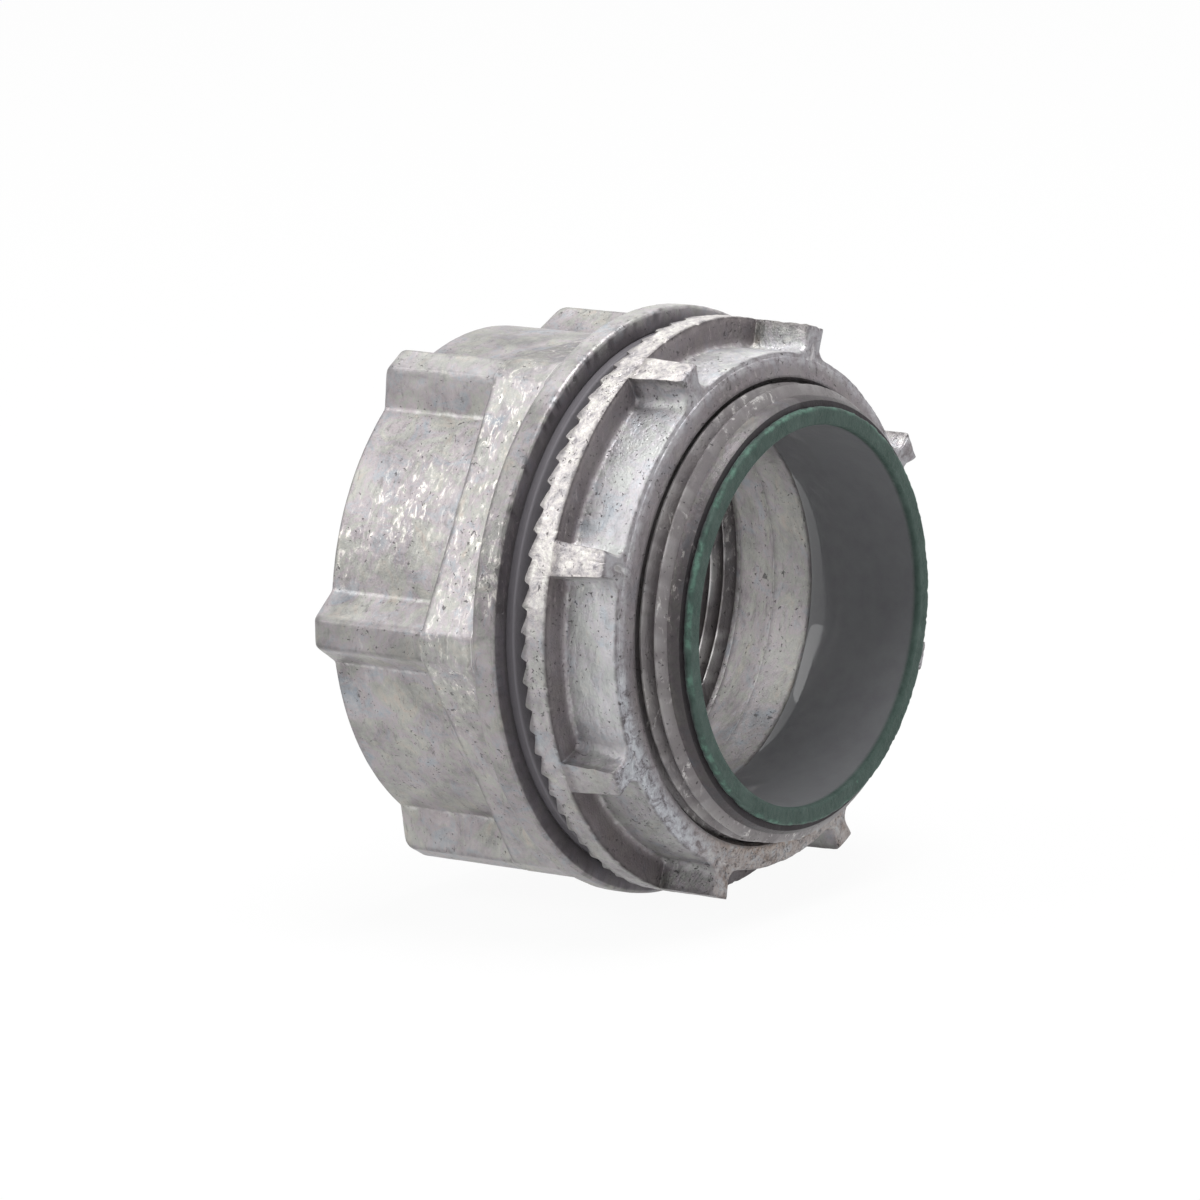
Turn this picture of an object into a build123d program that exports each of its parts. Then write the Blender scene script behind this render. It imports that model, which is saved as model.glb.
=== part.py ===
from build123d import *
import os
from math import cos, sin, sqrt, radians, degrees, atan2

os.makedirs("parts", exist_ok=True)

# The axis of the hub is X. The flange's sealing face is the plane X = 0: the threaded
# neck, the locknut and the throat are on the +X side, the conduit socket on the -X side.
# Angles about the axis count from +Z towards -Y. All sizes are in millimetres.

# pipe thread of the 2 inch trade size: rings on the neck, plain bores in the socket and nut
thread_diameter = 60.3
thread_pitch = 2.209
thread_depth = 1.45
thread_crest = 0.35
thread_root = 0.2
thread_start = 2.34
socket_clearance = 0.1
nut_clearance = 0.2

# hub body: barrel, ribs, hexagonal band and flange
body_length = 30.3
barrel_wall = 3.75
rib_count = 6
rib_start_angle = 30
rib_height = 4.5
rib_tip_width = 3.7
rib_root_width = 9.5
rib_corner_round = 2.0
band_length = 8.3
band_step = 0.15
flange_thickness = 3.8
flange_step = 0.45
cast_round = 0.6
edge_break = 0.45
rim_back_round = 1.1
rim_front_round = 0.6

# passage through the hub body
socket_depth = 20.8
socket_mouth_chamfer = 0.9
stop_inlet_drop = 0.95
stop_length = 7.4
stop_drop = 2.8
throat_length = 7.2
throat_drop = 1.3

# threaded neck
neck_length = 21.5
neck_chamfer = 1.4

# insulating liner of the throat
liner_inset = 0.2
liner_wall = 1.6
liner_clearance = 0.05
lip_overhang = 0.8
lip_thickness = 1.1
lip_round = 0.35

# sealing ring in the flange
ring_bore_clearance = 0.3
ring_width = 5.4
ring_thickness = 2.6
ring_proud = 1.0
ring_side_clearance = 0.25
ring_round = 0.6

# locknut
nut_gap = 3.5
nut_thickness = 12.5
nut_wall = 3.65
nut_front_rise = 0.45
rim_height = 4.0
rim_thickness = 4.1
pocket_root_round = 0.9
tooth_count = 72
tooth_height = 1.2
tooth_depth = 2.6
tooth_land = 0.24
lug_count = 8
lug_start_angle = 25
lug_width = 5.0
lug_front_width = 3.2
lug_height = 3.9
lug_setback = 0.2
lug_round = 0.5
lug_corner_round = 0.5

# sizes that follow from the ones above
neck_radius = thread_diameter / 2
socket_radius = neck_radius + socket_clearance
barrel_radius = socket_radius + barrel_wall
rib_tip_radius = barrel_radius + rib_height
flange_radius = rib_tip_radius + flange_step
back_x = -body_length
band_back_x = -flange_thickness - band_length
socket_end_x = back_x + socket_depth
stop_end_x = socket_end_x + stop_length
liner_seat_x = stop_end_x + throat_length
stop_inlet_radius = socket_radius - stop_inlet_drop
stop_outlet_radius = stop_inlet_radius - stop_drop
throat_radius = stop_outlet_radius - throat_drop
liner_bore_radius = throat_radius - liner_inset
liner_radius = liner_bore_radius + liner_wall
liner_pocket_radius = liner_radius + liner_clearance
ring_inner_radius = neck_radius + ring_bore_clearance
ring_outer_radius = ring_inner_radius + ring_width
recess_radius = ring_outer_radius + ring_side_clearance
recess_depth = ring_thickness - ring_proud
nut_bore_radius = neck_radius + nut_clearance
nut_ring_radius = nut_bore_radius + nut_wall
nut_rim_radius = nut_ring_radius + rim_height
nut_back_x = nut_gap + tooth_height
nut_front_x = nut_gap + nut_thickness
rim_front_x = nut_gap + rim_thickness
lug_radius = nut_ring_radius + lug_height
lug_front_x = nut_front_x - lug_setback


def turned(points):
    """A solid of revolution about the X axis, from (x, radius) points."""
    outline = Polyline(*[(x, 0, radius) for x, radius in points], close=True)
    return revolve(make_face(outline), axis=Axis.X)


def around(angle):
    """A section point's place at an angle from +Z towards -Y."""
    return Rot(0, 0, 90 + angle)


def cross_section(sketch, x):
    """A sketch placed square to the axis at a station of X."""
    return Plane.YZ.offset(x) * sketch


def rib_angles():
    return [rib_start_angle + 360 / rib_count * i for i in range(rib_count)]


def barrel_with_ribs():
    """The round barrel and its tapered ribs, whose back corners are rounded."""
    root_radius = sqrt(barrel_radius**2 - (rib_root_width / 2) ** 2)
    inner_radius = barrel_radius - barrel_wall / 2
    section = Sketch() + Circle(barrel_radius)
    for angle in rib_angles():
        rib = Polygon(
            (inner_radius, -rib_root_width / 2),
            (root_radius, -rib_root_width / 2),
            (rib_tip_radius, -rib_tip_width / 2),
            (rib_tip_radius, rib_tip_width / 2),
            (root_radius, rib_root_width / 2),
            (inner_radius, rib_root_width / 2),
            align=None,
        )
        section += around(angle) * rib
    section = fillet(section.vertices(), cast_round)
    length = body_length - flange_thickness / 2
    solid = extrude(cross_section(section, back_x), amount=length)
    back_edges = solid.faces().sort_by(Axis.X)[0].outer_wire().edges()
    solid = fillet(back_edges, edge_break)
    reach = extrude(cross_section(Circle(rib_tip_radius + band_step), back_x), amount=length)
    back_rim = reach.edges().filter_by(GeomType.CIRCLE).sort_by(Axis.X)[0]
    return solid & fillet(back_rim, rib_corner_round)


def hex_band():
    """The wrench flats: straight lines between the tips of neighbouring ribs."""
    tip = rib_tip_radius + band_step
    corner_radius = sqrt(tip**2 + (rib_tip_width / 2) ** 2)
    half_angle = degrees(atan2(rib_tip_width / 2, tip))
    corners = []
    for angle in rib_angles():
        for turn in (angle - half_angle, angle + half_angle):
            place = radians(90 + turn)
            corners.append((corner_radius * cos(place), corner_radius * sin(place)))
    section = Polygon(*corners, align=None)
    length = band_length + flange_thickness / 2
    solid = extrude(cross_section(section, band_back_x), amount=length)
    back_edges = solid.faces().sort_by(Axis.X)[0].outer_wire().edges()
    return chamfer(back_edges, edge_break)


def flange():
    """The round flange with its rounded rim."""
    disc = extrude(cross_section(Circle(flange_radius), -flange_thickness), amount=flange_thickness)
    back_rim = disc.edges().filter_by(GeomType.CIRCLE).sort_by(Axis.X)[0]
    disc = fillet(back_rim, rim_back_round)
    front_rim = disc.edges().filter_by(GeomType.CIRCLE).sort_by(Axis.X)[-1]
    return fillet(front_rim, rim_front_round)


def thread_grooves():
    """Outline points of the grooves between the neck's thread crests."""
    root_radius = neck_radius - thread_depth
    chamfer_x = neck_length - neck_chamfer
    groove_count = int((chamfer_x - thread_start) / thread_pitch)
    points = []
    for i in range(groove_count):
        middle = thread_start + thread_pitch * (i + 0.5)
        mouth = (thread_pitch - thread_crest) / 2
        points.append((middle - mouth, neck_radius))
        points.append((middle - thread_root / 2, root_radius))
        points.append((middle + thread_root / 2, root_radius))
        points.append((middle + mouth, neck_radius))
    return points


def neck():
    """The threaded neck, chamfered at its end."""
    start_x = -flange_thickness / 2
    return turned(
        [
            (start_x, 0),
            (start_x, neck_radius),
            *thread_grooves(),
            (neck_length - neck_chamfer, neck_radius),
            (neck_length, neck_radius - neck_chamfer),
            (neck_length, 0),
        ]
    )


def passage():
    """The way through: socket, conduit stop, throat and the liner's pocket."""
    beyond = 1.0
    return turned(
        [
            (back_x - beyond, 0),
            (back_x - beyond, socket_radius + socket_mouth_chamfer),
            (back_x, socket_radius + socket_mouth_chamfer),
            (back_x + socket_mouth_chamfer, socket_radius),
            (socket_end_x, socket_radius),
            (socket_end_x, stop_inlet_radius),
            (stop_end_x, stop_outlet_radius),
            (liner_seat_x, throat_radius),
            (liner_seat_x, liner_pocket_radius),
            (neck_length + beyond, liner_pocket_radius),
            (neck_length + beyond, 0),
        ]
    )


def ring_recess():
    """The recess in the flange face that holds the sealing ring."""
    return turned(
        [
            (-recess_depth, neck_radius),
            (-recess_depth, recess_radius),
            (flange_thickness, recess_radius),
            (flange_thickness, neck_radius),
        ]
    )


def hub_body():
    outside = barrel_with_ribs() + hex_band() + flange() + neck()
    return outside - passage() - ring_recess()


def sealing_ring():
    """The soft ring, seated on the floor of the flange's recess."""
    ring = turned(
        [
            (-recess_depth, ring_inner_radius),
            (-recess_depth, ring_outer_radius),
            (ring_proud, ring_outer_radius),
            (ring_proud, ring_inner_radius),
        ]
    )
    front_edges = ring.edges().filter_by(GeomType.CIRCLE).group_by(Axis.X)[-1]
    return fillet(front_edges, ring_round)


def throat_liner():
    """The liner tube with the lip that covers the neck's mouth."""
    lip_radius = liner_radius + lip_overhang
    lip_front_x = neck_length + lip_thickness
    liner = turned(
        [
            (liner_seat_x, liner_bore_radius),
            (liner_seat_x, liner_radius),
            (neck_length, liner_radius),
            (neck_length, lip_radius),
            (lip_front_x, lip_radius),
            (lip_front_x, liner_bore_radius),
        ]
    )
    front_edges = liner.edges().filter_by(GeomType.CIRCLE).group_by(Axis.X)[-1]
    return fillet(front_edges, lip_round)


def nut_ring():
    """The nut's threaded ring with its toothed rim at the back."""
    ring = turned(
        [
            (nut_gap, nut_bore_radius + nut_clearance),
            (nut_gap, nut_rim_radius),
            (rim_front_x, nut_rim_radius),
            (rim_front_x, nut_ring_radius),
            (nut_front_x, nut_ring_radius),
            (nut_front_x + nut_front_rise, nut_bore_radius + nut_front_rise),
            (nut_front_x, nut_bore_radius),
            (nut_back_x, nut_bore_radius),
        ]
    )
    circles = ring.edges().filter_by(GeomType.CIRCLE)
    pocket_root = circles.sort_by_distance((rim_front_x, 0, nut_ring_radius))[0]
    return fillet(pocket_root, pocket_root_round)


def nut_lugs():
    """The lugs that stand on the ring, as tall as the rim and narrower in front."""
    root_x = nut_gap + rim_thickness / 2
    root_radius = nut_ring_radius - nut_wall / 2
    outline = Polygon(
        (root_x, -lug_width / 2),
        (lug_front_x, -lug_front_width / 2),
        (lug_front_x, lug_front_width / 2),
        (root_x, lug_width / 2),
        align=None,
    )
    block = Pos(0, 0, root_radius) * extrude(outline, amount=lug_radius - root_radius)
    front = block.faces().sort_by(Axis.X)[-1]
    corners = front.edges().filter_by(Axis.Z)
    block = fillet(corners, lug_corner_round)
    top_edges = block.faces().sort_by(Axis.Z)[-1].edges().sort_by(Axis.X)
    front_edges = [edge for edge in top_edges if edge.center().X > lug_front_x - lug_corner_round]
    block = fillet(front_edges, lug_round)
    step = 360 / lug_count
    return [Rot(lug_start_angle + step * i, 0, 0) * block for i in range(lug_count)]


def tooth_gaps():
    """The gaps between the ratchet teeth on the back of the rim."""
    pitch = 360 / tooth_count
    gap_length = 2 * nut_rim_radius * sin(radians(pitch / 2))
    outer = nut_rim_radius + tooth_height
    inner = nut_rim_radius - tooth_depth
    profile = Polygon(
        (-tooth_height, 0),
        (tooth_height, -gap_length * tooth_land),
        (-tooth_height / 8, -gap_length),
        (-tooth_height, -gap_length),
        align=None,
    )
    placed = Pos(nut_gap, 0, inner) * (Plane.XY * profile)
    gap = extrude(placed, amount=outer - inner, dir=(0, 0, 1))
    return [Rot(pitch * i, 0, 0) * gap for i in range(tooth_count)]


def locknut():
    return (nut_ring() + nut_lugs()) - tooth_gaps()


export_step(hub_body(), "parts/hub_body.step")
export_step(sealing_ring(), "parts/sealing_ring.step")
export_step(throat_liner(), "parts/throat_liner.step")
export_step(locknut(), "parts/locknut.step")
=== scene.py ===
import math
import bmesh
import bpy
import numpy as np
from mathutils import Matrix, Vector, noise


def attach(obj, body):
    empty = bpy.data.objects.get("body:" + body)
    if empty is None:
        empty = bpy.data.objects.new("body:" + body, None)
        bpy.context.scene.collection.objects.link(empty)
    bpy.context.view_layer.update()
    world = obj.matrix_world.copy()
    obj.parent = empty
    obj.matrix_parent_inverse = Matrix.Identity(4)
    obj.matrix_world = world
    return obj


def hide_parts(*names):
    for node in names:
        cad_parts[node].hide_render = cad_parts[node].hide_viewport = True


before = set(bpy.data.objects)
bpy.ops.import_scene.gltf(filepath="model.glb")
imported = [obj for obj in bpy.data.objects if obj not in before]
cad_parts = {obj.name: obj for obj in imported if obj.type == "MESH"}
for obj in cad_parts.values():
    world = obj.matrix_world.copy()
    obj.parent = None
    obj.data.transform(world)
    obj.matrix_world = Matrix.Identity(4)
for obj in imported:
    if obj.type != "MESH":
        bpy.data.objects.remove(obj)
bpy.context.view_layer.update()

mm = 0.001
print("frame loaded")

# camera at the photograph's angle, in degrees and millimetres, its near and far ends in metres
camSet = {"azimuth": 36.596, "elevation": 11.943, "roll": -1.998, "focal": 240.0, "distance": 1051.2,
          "target": (-6.342, -7.113, 0.742), "sensor": 36, "near": 0.02, "far": 20}


def setCamera(s):
    az, el, roll = (math.radians(s[k]) for k in ("azimuth", "elevation", "roll"))
    forward = Vector((-math.sin(az) * math.cos(el), math.cos(az) * math.cos(el), -math.sin(el)))
    level = Vector((math.cos(az), math.sin(az), 0))
    lift = level.cross(forward)
    right = math.cos(roll) * level + math.sin(roll) * lift
    up = right.cross(forward)
    data = bpy.data.cameras.new("photoCamera")
    data.lens = s["focal"]
    data.sensor_width = s["sensor"]
    data.clip_start = s["near"]
    data.clip_end = s["far"]
    cam = bpy.data.objects.new("photoCamera", data)
    bpy.context.scene.collection.objects.link(cam)
    place = (Vector(s["target"]) - forward * s["distance"]) * mm
    cam.matrix_world = Matrix.Translation(place) @ Matrix((right, up, -forward)).transposed().to_4x4()
    bpy.context.scene.camera = cam


setCamera(camSet)
bpy.context.scene.view_settings.view_transform = "Standard"
print("camera set")

# what all the meshes share: the cast lumps' noise, and how edges are found for the edge wear, its painted
# highlight and the darker corners
meshSet = {"lumpNoise": (0.9, 2.1, 3), "seedStep": 7.31, "edgeGain": 3.0, "edgeSmooth": 2, "sharpAngle": 40}


def ramp(a, b, t):
    s = np.clip((t - a) / (b - a), 0, 1)
    return s * s * (3 - 2 * s)


def window(zone, t):
    # up over the zone's first pair of values, down again over its second
    return ramp(*zone[0], t) * ramp(*zone[1], t)


def between(a, b, t):
    return (t > a) * (t < b)


def lumps(x, r, angle, size, seed):
    # smooth noise over a surface, about -1 to 1, size in mm
    y, z = -r * np.sin(angle), r * np.cos(angle)
    flat = np.stack([x, y, z], -1).reshape(-1, 3) / size + seed * meshSet["seedStep"]
    vals = [noise.fractal(p, *meshSet["lumpNoise"]) for p in flat.tolist()]
    return np.array(vals).reshape(np.shape(x))


def cornerFall(x, size):
    # how far a rounded corner has fallen away at a depth x from its end face
    x = np.clip(x, 0, size)
    return size - np.sqrt(size * size - (size - x) ** 2)


def arc(x0, r0, x1, r1, corner, steps):
    # points from one end to the other round a corner point
    pts = []
    for t in np.linspace(0, 1, steps):
        a, b, c = (1 - t) ** 2, 2 * t * (1 - t), t * t
        pts.append((a * x0 + b * corner[0] + c * x1, a * r0 + b * corner[1] + c * r1))
    return pts


def rounded(section, ang, width):
    # the section with its corners eased over a width in degrees
    spread = np.radians(np.linspace(-width, width, 9))
    weight = np.cos(np.linspace(-1.2, 1.2, 9)) ** 2
    return sum(w * section(ang + d) for w, d in zip(weight, spread)) / weight.sum()


def evenColumns(count):
    return np.radians(np.linspace(0, 360, count, endpoint=False))


def gridOf(rows, ang):
    # rows of x and r, each one value or one for every column, as two grids
    one = np.ones_like(ang)
    return np.array([x * one for x, r in rows]), np.array([r * one for x, r in rows])


def loftMesh(name, x, r, angle, body):
    # rows run along the closed section, columns run round the axis
    rows, cols = x.shape
    ang = np.broadcast_to(angle, x.shape)
    co = np.stack([x, -r * np.sin(ang), r * np.cos(ang)], -1).reshape(-1, 3) * mm
    i, j = np.arange(rows)[:, None], np.arange(cols)[None, :]
    up, on = (i + 1) % rows, (j + 1) % cols
    quads = np.stack([i * cols + j, up * cols + j, up * cols + on, i * cols + on], -1).reshape(-1, 4)
    return meshObject(name, co, quads, body)


def meshObject(name, co, quads, body):
    me = bpy.data.meshes.new(name)
    me.from_pydata(co.tolist(), [], quads.tolist())
    me.validate()
    me.update()
    for p in me.polygons:
        p.use_smooth = True
    obj = bpy.data.objects.new(name, me)
    bpy.context.scene.collection.objects.link(obj)
    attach(obj, body)
    markEdges(obj)
    return obj


def readRows(items, key, width, kind=float):
    # one property of every point or edge, a row for each
    flat = np.empty(len(items) * width, kind)
    items.foreach_get(key, flat)
    return flat.reshape(-1, width)


def paintPoints(obj, name, values):
    att = obj.data.attributes.new(name, "FLOAT", "POINT")
    att.data.foreach_set("value", np.asarray(values, np.float32).ravel())


def markEdges(obj):
    # how convex each point is, kept as the attribute that the edge wear, its painted highlight and the darker
    # corners read
    me = obj.data
    co = readRows(me.vertices, "co", 3)
    no = readRows(me.vertices, "normal", 3)
    a, b = readRows(me.edges, "vertices", 2, int).T
    d = co[b] - co[a]
    ln = np.maximum(np.linalg.norm(d, axis=1), 1e-9)
    bend = np.zeros(len(co))
    hit = np.zeros(len(co))
    for one, other, sign in ((a, b, -1), (b, a, 1)):
        np.add.at(bend, one, sign * (d * no[one]).sum(1) / ln)
        np.add.at(hit, one, 1)
    hit = np.maximum(hit, 1)
    bend /= hit
    for k in range(meshSet["edgeSmooth"]):
        near = np.zeros(len(co))
        np.add.at(near, a, bend[b])
        np.add.at(near, b, bend[a])
        bend = 0.5 * bend + 0.5 * near / hit
    paintPoints(obj, "edge", np.clip(bend * meshSet["edgeGain"], -1, 1))
    me.set_sharp_from_angle(angle=math.radians(meshSet["sharpAngle"]))


# the ridge of every thread: its shoulders and flat as shares of its top and height, its wobble and its paints
ridgeSet = {"pitch": 2.209, "shoulder": 1.25, "shoulderHigh": 0.86, "flat": 0.5, "endFoot": 0.25, "round": 11,
            "along": 2.7, "noise": (0.8, 2, 4), "lit": (-0.2, 0.4), "litShare": (0, 0.6, 1, 1, 0.6, 0),
            "busy": 0.9}


def ridgeWobble(ang, t, seed):
    # smooth noise along the ridge, the same each run
    size, along = ridgeSet["round"], ridgeSet["along"]
    spots = zip(size * np.cos(ang), size * np.sin(ang), t * along + seed)
    return np.array([noise.fractal(Vector(p), *ridgeSet["noise"]) for p in spots])


def helixRidge(name, body, s):
    # a closed ridge that runs round a cylinder, tapering out at both ends
    n = int(s["turns"] * s["steps"])
    t = np.arange(n + 1) / s["steps"]
    ang = 2 * math.pi * t + math.radians(s["start"])
    ends = ramp(0, s["fade"][0], t) * ramp(0, s["fade"][1], t[-1] - t)
    side = 1 if s["crest"] > s["root"] else -1
    height = abs(s["crest"] - s["root"])
    mid, midHigh = s["top"] * ridgeSet["shoulder"], height * ridgeSet["shoulderHigh"]
    flat = s["top"] * ridgeSet["flat"]
    sect = [(-s["foot"], -s["bury"]), (-mid, midHigh), (-flat, height),
            (flat, height), (mid, midHigh), (s["foot"], -s["bury"])]
    wobble = ridgeWobble(ang, t, s["seed"])
    worn = s["worn"] * ramp(s["turns"] - s["wornTurns"], s["turns"], t)
    co = []
    for dx, h in sect:
        tall = h if h < 0 else h * ends * (1 - worn) - s["rough"] * np.abs(wobble) * ends
        rad = s["root"] + side * tall
        narrow = ridgeSet["endFoot"] + (1 - ridgeSet["endFoot"]) * ends
        place = s["x"] + ridgeSet["pitch"] * t + dx * narrow
        co.append(np.stack([place, -rad * np.sin(ang), rad * np.cos(ang)], -1))
    co = np.stack(co, 1) * mm
    m = len(sect)
    quads = []
    for i in range(n):
        for k in range(m):
            p, q = i * m + k, i * m + (k + 1) % m
            quads.append([p, p + m, q + m, q] if side > 0 else [p, q, q + m, p + m])
    obj = meshObject(name, co.reshape(-1, 3), np.array(quads), body)
    capEnds(obj, m, n)
    light = ramp(*ridgeSet["lit"], wobble)[:, None] * s["crestLight"]
    paintPoints(obj, "shade", 1 - light * np.array(ridgeSet["litShare"]))
    paintPoints(obj, "busy", np.full((n + 1, m), ridgeSet["busy"]))
    return obj


def capEnds(obj, m, n):
    bm = bmesh.new()
    bm.from_mesh(obj.data)
    bm.verts.ensure_lookup_table()
    bm.faces.new([bm.verts[k] for k in range(m)])
    bm.faces.new([bm.verts[n * m + k] for k in range(m)][::-1])
    bmesh.ops.recalc_face_normals(bm, faces=bm.faces)
    bm.to_mesh(obj.data)
    bm.free()


# the hub's casting: ribbed barrel, hexagonal band, flange, neck and the way through, then lumps and paints
hub = {"back": -30.3, "barrel": 34.0, "ribTip": 38.5, "ribTipHalf": 1.85, "ribRootHalf": 4.75, "ribs": 6,
       "rib0": 30, "edge": 0.5, "ribCorner": 1.35, "bandBack": -12.1, "bandTip": 38.52, "flangeBack": -3.8,
       "flange": 38.935, "rimBack": 1.1, "rimFront": 0.6, "recess": 36.1, "recessDeep": 1.6, "neck": 30.1,
       "threadRoot": 28.65, "neckEnd": 21.5, "pocket": 26.65, "seat": 5.1, "throat": 25.2, "stopEnd": -2.1,
       "stop": 26.5, "socketEnd": -9.5, "inlet": 29.3, "socket": 30.25, "mouth": 0.9,
       "lumps": (9.0, 0.05), "grit": (2.2, 0.03), "easeRibs": 0.75, "easeBand": 0.5,
       "rimInner": 37.3, "lowerRim": ((28, 46), (300, 260)), "litRib": 30, "darkRib": 90, "ribSpan": 4,
       "topFlat": ((28, 24), (332, 336)), "bandLit": 0.5, "coneLit": 0.45, "neckFrom": 15.4,
       "neckDark": (0.7, 0.3), "socketDark": 0.2, "rimDark": 0.36, "flatDark": 0.5, "ribDark": 0.35,
       "chips": 0.9, "chipShade": (0.3, 0.5), "flecks": (0.25, 0.8, 0.75), "fleckAt": 68, "fleckSpan": 17}


def fromRib(ang):
    # angle to the middle of the nearest rib
    gap = 360 / hub["ribs"]
    return np.radians(np.abs((np.degrees(ang) - hub["rib0"] + gap / 2) % gap - gap / 2))


def ribSection(ang):
    # outer radius of the ribbed barrel at each angle
    p = fromRib(ang)
    root = math.sqrt(hub["barrel"] ** 2 - hub["ribRootHalf"] ** 2)
    slope = (hub["ribTipHalf"] - hub["ribRootHalf"]) / (hub["ribTip"] - root)
    side = (hub["ribRootHalf"] - slope * root) / (np.sin(p) - slope * np.cos(p))
    rad = np.where(p < math.atan(hub["ribTipHalf"] / hub["ribTip"]), hub["ribTip"] / np.cos(p), side)
    clear = p > math.asin(hub["ribRootHalf"] / hub["barrel"])
    return np.where(clear, hub["barrel"], np.maximum(rad, hub["barrel"]))


def bandSection(ang):
    # outer radius of the wrench flats
    p = fromRib(ang)
    half = math.atan(hub["ribTipHalf"] / hub["bandTip"])
    corner = math.hypot(hub["bandTip"], hub["ribTipHalf"])
    middle = math.pi / hub["ribs"]
    flat = corner * math.cos(middle - half) / np.cos(middle - p)
    return np.where(p < half, hub["bandTip"] / np.cos(p), flat)


def hubColumns():
    # close together over the ribs, wider between them
    part = []
    for k in range(hub["ribs"]):
        base = hub["rib0"] + 360 / hub["ribs"] * k
        part += list(base + np.arange(-10, 10, 0.4))
        part += list(base + np.linspace(10, 50, 37)[:-1])
    return np.radians(np.array(part))


def hubOutside(barrel, band):
    # rows of x and r, from the socket's mouth over barrel, band and flange to the neck's mouth
    tall = (barrel - hub["barrel"]) / (hub["ribTip"] - hub["barrel"])
    corner = hub["edge"] + hub["ribCorner"] * tall   # the ribs' back corners are the rounder ones
    back, bandBack, flangeBack, flange = (hub[k] for k in ("back", "bandBack", "flangeBack", "flange"))
    inside = hub["socket"] + hub["mouth"]
    for t in np.linspace(0, 1, 4):
        yield back, inside + t * (barrel - corner - inside)
    for x in (0.06, 0.2, 0.42, 0.7, 1.05, 1.45, 1.95):
        yield back + x, barrel - cornerFall(x, corner)
    for x in np.linspace(back + 2.5, bandBack - 0.35, 28):
        yield x, barrel
    yield bandBack - 0.02, barrel + 0.02
    yield bandBack, np.maximum(barrel, band - 0.45)
    yield bandBack + 0.12, np.maximum(barrel, band - 0.2)
    yield bandBack + 0.4, band
    for x in np.linspace(bandBack + 1.0, flangeBack - 0.5, 12):
        yield x, band
    yield flangeBack - 0.15, band
    low = flange - hub["rimBack"]
    for t in (0.05, 0.35, 0.7, 1.0):
        yield flangeBack, np.maximum(band + t * (low - band), band + 0.01 * t)
    for x in np.linspace(0.05, 1, 6) * hub["rimBack"]:
        yield flangeBack + x, np.maximum(flange - cornerFall(x, hub["rimBack"]), band + 0.02)
    for x in (-2.2, -1.6, -1.1):
        yield x, flange
    for x in np.linspace(1, 0.04, 6) * hub["rimFront"]:
        yield -x, flange - cornerFall(x, hub["rimFront"])
    for r in (flange - hub["rimFront"], 37.0, hub["recess"] + 0.15):
        yield 0, r
    yield -0.15, hub["recess"]
    for r in (hub["recess"], 33, hub["neck"]):
        yield -hub["recessDeep"], r
    for x in (-0.4, 0.6, 1.2):
        yield x, hub["neck"]
    yield 1.9, hub["threadRoot"]
    for x in np.linspace(3, hub["neckEnd"] - 0.6, 16):
        yield x, hub["threadRoot"]


def hubInside():
    # and on, from the neck's mouth through pocket, throat and stop to the socket
    end, seat, stopEnd, pocket, stop = (hub[k] for k in ("neckEnd", "seat", "stopEnd", "pocket", "stop"))
    for r in (hub["threadRoot"] - 0.5, pocket + 0.8, pocket):
        yield end, r
    for x in np.linspace(end - 1, seat + 1, 5):
        yield x, pocket
    yield seat, pocket
    yield seat, hub["throat"] + 0.1
    for t in np.linspace(0.02, 0.98, 9):
        yield seat + t * (stopEnd - seat), hub["throat"] + t * (stop - hub["throat"])
    for side in (0.12, -0.12):
        yield stopEnd + side, stop + 0.12
    for t in np.linspace(0.04, 1, 10):
        yield stopEnd + t * (hub["socketEnd"] - stopEnd), stop + t * (hub["inlet"] - stop)
    yield hub["socketEnd"], hub["socket"]
    for x in np.linspace(hub["socketEnd"] - 1, hub["back"] + 1.2, 12):
        yield x, hub["socket"]
    yield hub["back"] + hub["mouth"], hub["socket"]


# painted light on the rim's top, the upper band, one rib's tip and the stop cone; painted shade on the neck,
# socket thread, lower rim, top flats and a side rib's tip, with the flange's chipped edge; and where the
# bright flecks gather
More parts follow.
